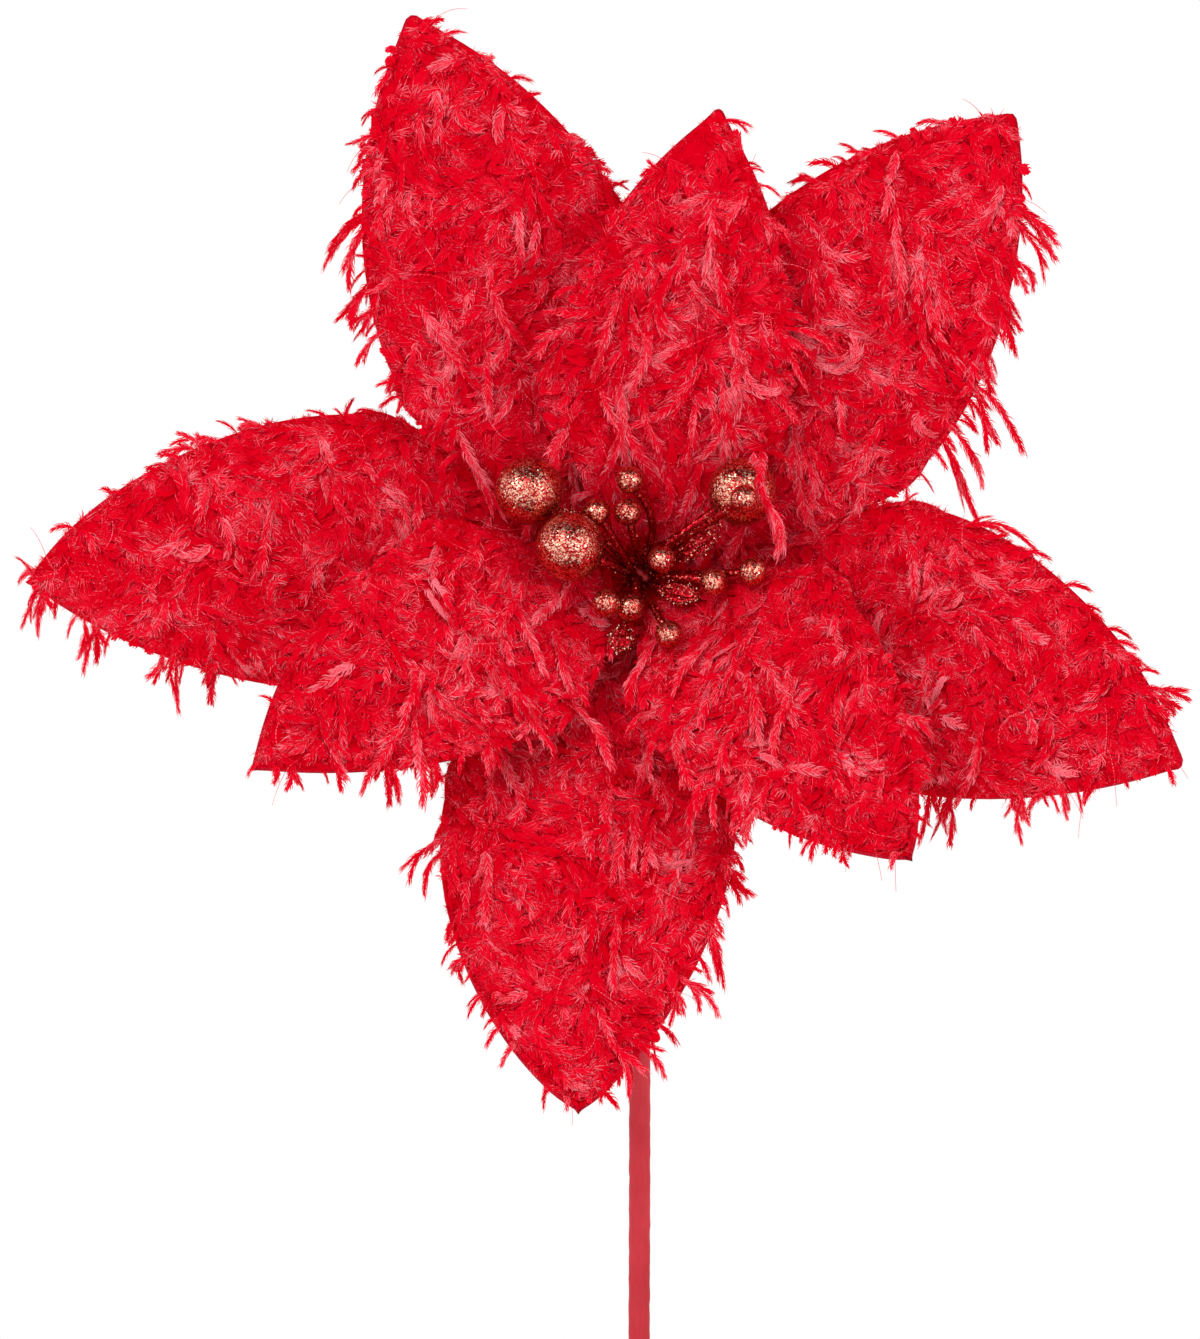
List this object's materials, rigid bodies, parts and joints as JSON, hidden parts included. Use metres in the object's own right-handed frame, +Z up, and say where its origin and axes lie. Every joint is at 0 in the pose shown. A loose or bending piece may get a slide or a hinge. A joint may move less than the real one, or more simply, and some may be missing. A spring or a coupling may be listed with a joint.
{
  "type": "artificial poinsettia flower pick",
  "caption": "Artificial poinsettia: wired feather-cloth petals in two layers round glitter berries, on a bendable tape-wrapped wire stem.",
  "frame": {"origin": "centre of the stem's cut lower end", "axes": "+Z up the stem, the flower faces -Y, +X is the flower's right as seen from in front"},
  "size_m": [0.3378, 0.1362, 0.5912],
  "materials": {
    "steel_wire": "drawn",
    "plastic_sleeve": "extruded",
    "paper_tape": "matt crepe",
    "red_felt": "felted knit",
    "feather_cloth": "feather pile",
    "glitter_ball": "glitter coated",
    "glitter_twig": "glitter coated",
    "glitter_leaf": "glitter edged"
  },
  "bodies": {
    "stem": {"stem_wire": "steel_wire", "stem_sleeve": "plastic_sleeve", "stem_tape": "paper_tape", "neck_wire": "steel_wire", "neck_tape": "paper_tape"},
    "head": {"head_wire": "steel_wire", "petal_wire_roots": "steel_wire", "binding_wire": "steel_wire", "collar_tape": "paper_tape", "pick_wire": "steel_wire", "pick_knot": "paper_tape", "berry_twigs": "glitter_twig", "berry_top": "glitter_ball", "berry_upper_left": "glitter_ball", "berry_upper": "glitter_ball", "berry_upper_right": "glitter_ball", "berry_middle": "glitter_ball", "berry_right": "glitter_ball", "berry_far_right": "glitter_ball", "berry_lower_left": "glitter_ball", "berry_lower": "glitter_ball", "berry_bottom": "glitter_ball", "glitter_leaf_right": "glitter_leaf", "glitter_leaf_upper_right": "glitter_leaf", "glitter_leaf_left": "glitter_leaf", "glitter_leaf_bottom": "glitter_leaf"},
    "petal_upper_left": {"petal_upper_left_felt": "red_felt", "petal_upper_left_plush": "feather_cloth", "petal_upper_left_wire": "steel_wire"},
    "petal_upper_right": {"petal_upper_right_felt": "red_felt", "petal_upper_right_plush": "feather_cloth", "petal_upper_right_wire": "steel_wire"},
    "petal_left": {"petal_left_felt": "red_felt", "petal_left_plush": "feather_cloth", "petal_left_wire": "steel_wire"},
    "petal_right": {"petal_right_felt": "red_felt", "petal_right_plush": "feather_cloth", "petal_right_wire": "steel_wire"},
    "petal_bottom": {"petal_bottom_felt": "red_felt", "petal_bottom_plush": "feather_cloth", "petal_bottom_wire": "steel_wire"},
    "petal_inner_top": {"petal_inner_top_felt": "red_felt", "petal_inner_top_plush": "feather_cloth", "petal_inner_top_wire": "steel_wire"},
    "petal_inner_lower_left": {"petal_inner_lower_left_felt": "red_felt", "petal_inner_lower_left_plush": "feather_cloth", "petal_inner_lower_left_wire": "steel_wire"},
    "petal_inner_lower_right": {"petal_inner_lower_right_felt": "red_felt", "petal_inner_lower_right_plush": "feather_cloth", "petal_inner_lower_right_wire": "steel_wire"},
    "ball_upper_left": {"ball_twig_upper_left": "glitter_twig", "ball_upper_left": "glitter_ball"},
    "ball_left": {"ball_twig_left": "glitter_twig", "ball_left": "glitter_ball"},
    "ball_upper_right": {"ball_twig_upper_right": "glitter_twig", "ball_upper_right": "glitter_ball"}
  },
  "joints": [
    {"name": "neck_bend", "type": "hinge", "parent": "stem", "child": "head", "pos_m": [0, 0, 0.42261], "axis": [-1, 0, 0], "range_deg": [-12, 84], "deforming": ["neck_wire", "neck_tape"]},
    {"name": "petal_upper_left_hinge", "type": "hinge", "parent": "head", "child": "petal_upper_left", "pos_m": [-0.00309, -0.03166, 0.43335], "axis": [0.9225, 0.0403, 0.3838], "range_deg": [-40, 3]},
    {"name": "petal_upper_right_hinge", "type": "hinge", "parent": "head", "child": "petal_upper_right", "pos_m": [0.00514, -0.03179, 0.43211], "axis": [0.766, -0.0672, -0.6393], "range_deg": [-40, 2]},
    {"name": "petal_left_hinge", "type": "hinge", "parent": "head", "child": "petal_left", "pos_m": [-0.008, -0.03244, 0.42588], "axis": [-0.0175, 0.1045, 0.9944], "range_deg": [-40, 6]},
    {"name": "petal_right_hinge", "type": "hinge", "parent": "head", "child": "petal_right", "pos_m": [0.00744, -0.03273, 0.42309], "axis": [-0.3681, -0.0972, -0.9247], "range_deg": [-40, 6]},
    {"name": "petal_bottom_hinge", "type": "hinge", "parent": "head", "child": "petal_bottom", "pos_m": [-0.00088, -0.03326, 0.41811], "axis": [-0.994, 0.0115, 0.1091], "range_deg": [-20, 3]},
    {"name": "petal_inner_top_hinge", "type": "hinge", "parent": "head", "child": "petal_inner_top", "pos_m": [0.00111, -0.0437, 0.43354], "axis": [0.9848, -0.0182, -0.1727], "range_deg": [-2, 3]},
    {"name": "petal_inner_lower_left_hinge", "type": "hinge", "parent": "head", "child": "petal_inner_lower_left", "pos_m": [-0.00557, -0.04469, 0.42413], "axis": [-0.4924, 0.091, 0.8656], "range_deg": [-4, 8]},
    {"name": "petal_inner_lower_right_hinge", "type": "hinge", "parent": "head", "child": "petal_inner_lower_right", "pos_m": [0.00415, -0.04487, 0.42242], "axis": [-0.7615, -0.0677, -0.6446], "range_deg": [-4, 4]},
    {"name": "ball_upper_left_swing", "type": "hinge", "parent": "head", "child": "ball_upper_left", "pos_m": [-0.00229, -0.05207, 0.43137], "axis": [0, 0.9945, -0.1045], "range_deg": [0, 10]},
    {"name": "ball_left_swing", "type": "hinge", "parent": "head", "child": "ball_left", "pos_m": [-0.004, -0.05242, 0.42811], "axis": [0, -0.9945, 0.1045], "range_deg": [0, 15]},
    {"name": "ball_upper_right_swing", "type": "hinge", "parent": "head", "child": "ball_upper_right", "pos_m": [0.00169, -0.05204, 0.43172], "axis": [0, 0.9945, -0.1045], "range_deg": [-2, 6]}
  ]
}
